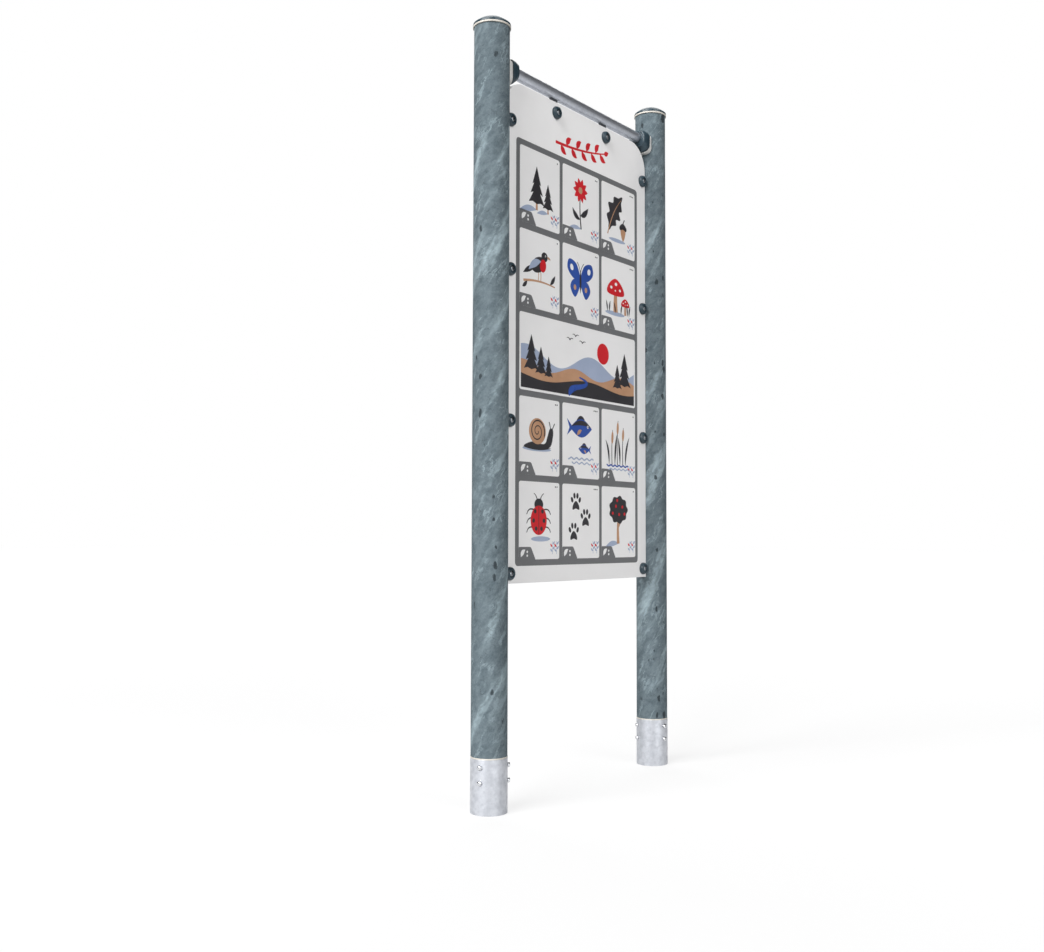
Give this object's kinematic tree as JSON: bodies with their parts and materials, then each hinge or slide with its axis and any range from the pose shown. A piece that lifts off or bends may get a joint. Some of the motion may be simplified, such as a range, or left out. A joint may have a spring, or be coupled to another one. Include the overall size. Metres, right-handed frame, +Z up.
{
  "type": "park interpretation sign",
  "caption": "Free-standing park interpretation sign: a tall notice board held between round composite posts on steel foot sleeves, with a steel rail across the top.",
  "frame": {"origin": "on the ground, midway between the two posts", "axes": "+Z up; +X along the board, to the right as seen from the printed side; the printed face looks towards -Y"},
  "size_m": [0.9606, 0.1117, 2.19],
  "materials": {
    "composite": "marbled blue-grey recycled composite, smooth, with pale slanting veins and dark flecks",
    "galvanised_steel": "hot-dip galvanised, mottled zinc with soft spangle",
    "stainless_steel": "bright stainless",
    "slate_plastic": "dark slate moulded polyamide, satin",
    "beige_plastic": "pale beige moulded polyamide, matt",
    "board": "off-white sheet with a printed face, satin"
  },
  "bodies": {
    "root": {"board": "board", "left_bracket_screw": "stainless_steel", "left_cap": "slate_plastic", "left_cap_ring": "beige_plastic", "left_foot": "galvanised_steel", "left_foot_ring": "beige_plastic", "left_foot_screw_1": "stainless_steel", "left_foot_screw_2": "stainless_steel", "left_foot_screw_3": "stainless_steel", "left_foot_screw_4": "stainless_steel", "left_foot_screw_5": "stainless_steel", "left_foot_screw_6": "stainless_steel", "left_post": "composite", "left_rail_bracket": "slate_plastic", "left_rail_gasket": "beige_plastic", "left_side_1_bolt": "stainless_steel", "left_side_1_fastener_cap": "slate_plastic", "left_side_2_bolt": "stainless_steel", "left_side_2_fastener_cap": "slate_plastic", "left_side_3_bolt": "stainless_steel", "left_side_3_fastener_cap": "slate_plastic", "left_side_4_bolt": "stainless_steel", "left_side_4_fastener_cap": "slate_plastic", "left_tongue_1": "galvanised_steel", "left_tongue_2": "galvanised_steel", "left_tongue_3": "galvanised_steel", "left_tongue_4": "galvanised_steel", "left_top_bolt": "stainless_steel", "left_top_fastener_cap": "slate_plastic", "right_bracket_screw": "stainless_steel", "right_cap": "slate_plastic", "right_cap_ring": "beige_plastic", "right_foot": "galvanised_steel", "right_foot_ring": "beige_plastic", "right_foot_screw_1": "stainless_steel", "right_foot_screw_2": "stainless_steel", "right_foot_screw_3": "stainless_steel", "right_foot_screw_4": "stainless_steel", "right_foot_screw_5": "stainless_steel", "right_foot_screw_6": "stainless_steel", "right_post": "composite", "right_rail_bracket": "slate_plastic", "right_rail_gasket": "beige_plastic", "right_side_1_bolt": "stainless_steel", "right_side_1_fastener_cap": "slate_plastic", "right_side_2_bolt": "stainless_steel", "right_side_2_fastener_cap": "slate_plastic", "right_side_3_bolt": "stainless_steel", "right_side_3_fastener_cap": "slate_plastic", "right_side_4_bolt": "stainless_steel", "right_side_4_fastener_cap": "slate_plastic", "right_tongue_1": "galvanised_steel", "right_tongue_2": "galvanised_steel", "right_tongue_3": "galvanised_steel", "right_tongue_4": "galvanised_steel", "right_top_bolt": "stainless_steel", "right_top_fastener_cap": "slate_plastic", "top_rail": "galvanised_steel"}
  },
  "joints": []
}
